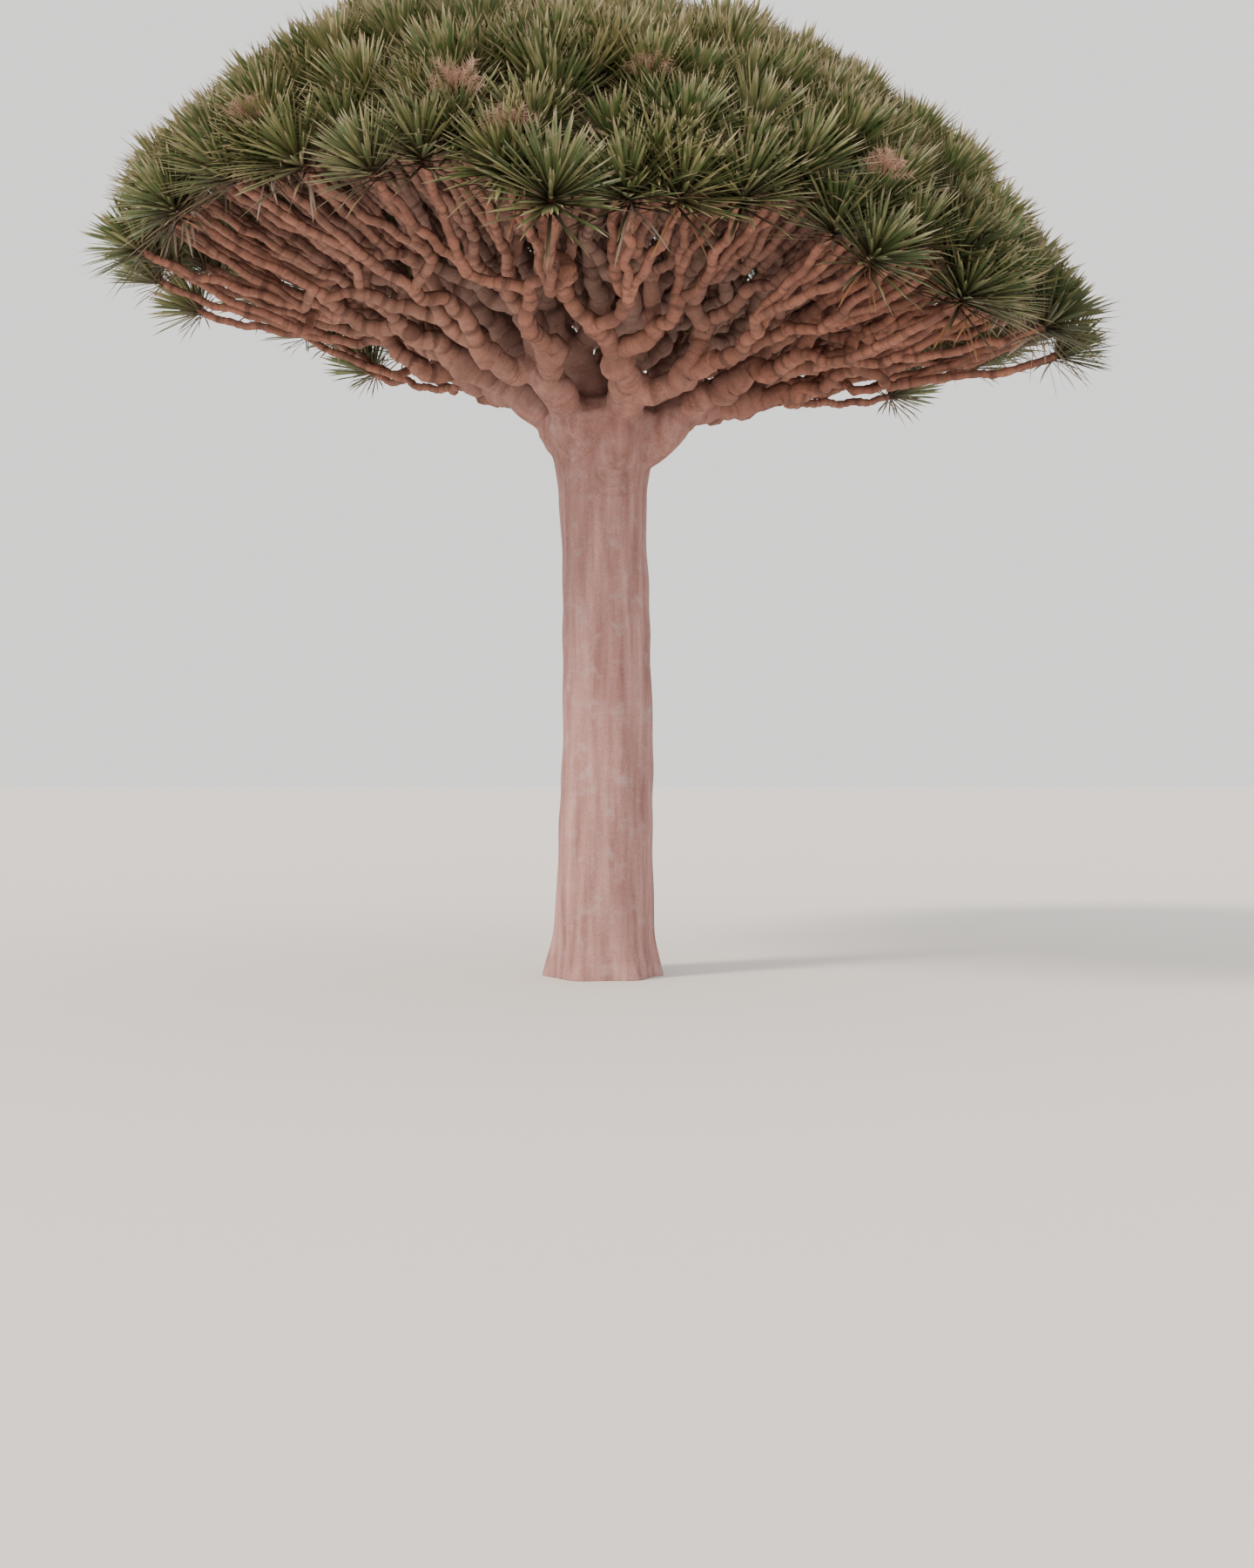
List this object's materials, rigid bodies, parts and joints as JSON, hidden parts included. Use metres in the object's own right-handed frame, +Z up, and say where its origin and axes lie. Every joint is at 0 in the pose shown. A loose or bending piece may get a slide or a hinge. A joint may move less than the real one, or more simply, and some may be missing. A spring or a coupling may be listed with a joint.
{
  "type": "dragon blood tree",
  "caption": "Umbrella-shaped tree with a stout bare trunk, densely forking boughs that fan out under a low dome, and stiff sword leaves in rosettes.",
  "frame": {"origin": "middle of the flat cut under the trunk, at ground level", "axes": "+Z up along the trunk; -Y is the side that the picture was taken from, +X to its right"},
  "size_m": [7.0635, 7.1222, 6.7496],
  "materials": {
    "trunk_bark": "smooth grey-brown bark with pale lichen patches, dry and matt",
    "bough_bark": "warm red-brown bark, ringed like stacked sausages, dry and matt",
    "foliage": "stiff olive-green sword leaves with a slight waxy gloss"
  },
  "bodies": {
    "root": {"trunk": "trunk_bark", "main_bough_1": "bough_bark", "bough_1a": "bough_bark", "foliage_1a": "foliage", "bough_1b": "bough_bark", "foliage_1b": "foliage", "bough_1c": "bough_bark", "foliage_1c": "foliage", "main_bough_2": "bough_bark", "bough_2a": "bough_bark", "foliage_2a": "foliage", "bough_2b": "bough_bark", "foliage_2b": "foliage", "bough_2c": "bough_bark", "foliage_2c": "foliage", "main_bough_3": "bough_bark", "bough_3a": "bough_bark", "foliage_3a": "foliage", "bough_3b": "bough_bark", "foliage_3b": "foliage", "bough_3c": "bough_bark", "foliage_3c": "foliage", "main_bough_4": "bough_bark", "bough_4a": "bough_bark", "foliage_4a": "foliage", "bough_4b": "bough_bark", "foliage_4b": "foliage", "bough_4c": "bough_bark", "foliage_4c": "foliage", "main_bough_5": "bough_bark", "bough_5a": "bough_bark", "foliage_5a": "foliage", "bough_5b": "bough_bark", "foliage_5b": "foliage", "bough_5c": "bough_bark", "foliage_5c": "foliage", "main_bough_6": "bough_bark", "bough_6a": "bough_bark", "foliage_6a": "foliage", "bough_6b": "bough_bark", "foliage_6b": "foliage", "bough_6c": "bough_bark", "foliage_6c": "foliage", "main_bough_7": "bough_bark", "bough_7a": "bough_bark", "foliage_7a": "foliage", "bough_7b": "bough_bark", "foliage_7b": "foliage", "bough_7c": "bough_bark", "foliage_7c": "foliage", "main_bough_8": "bough_bark", "bough_8a": "bough_bark", "foliage_8a": "foliage", "bough_8b": "bough_bark", "foliage_8b": "foliage", "bough_8c": "bough_bark", "foliage_8c": "foliage"}
  },
  "joints": []
}
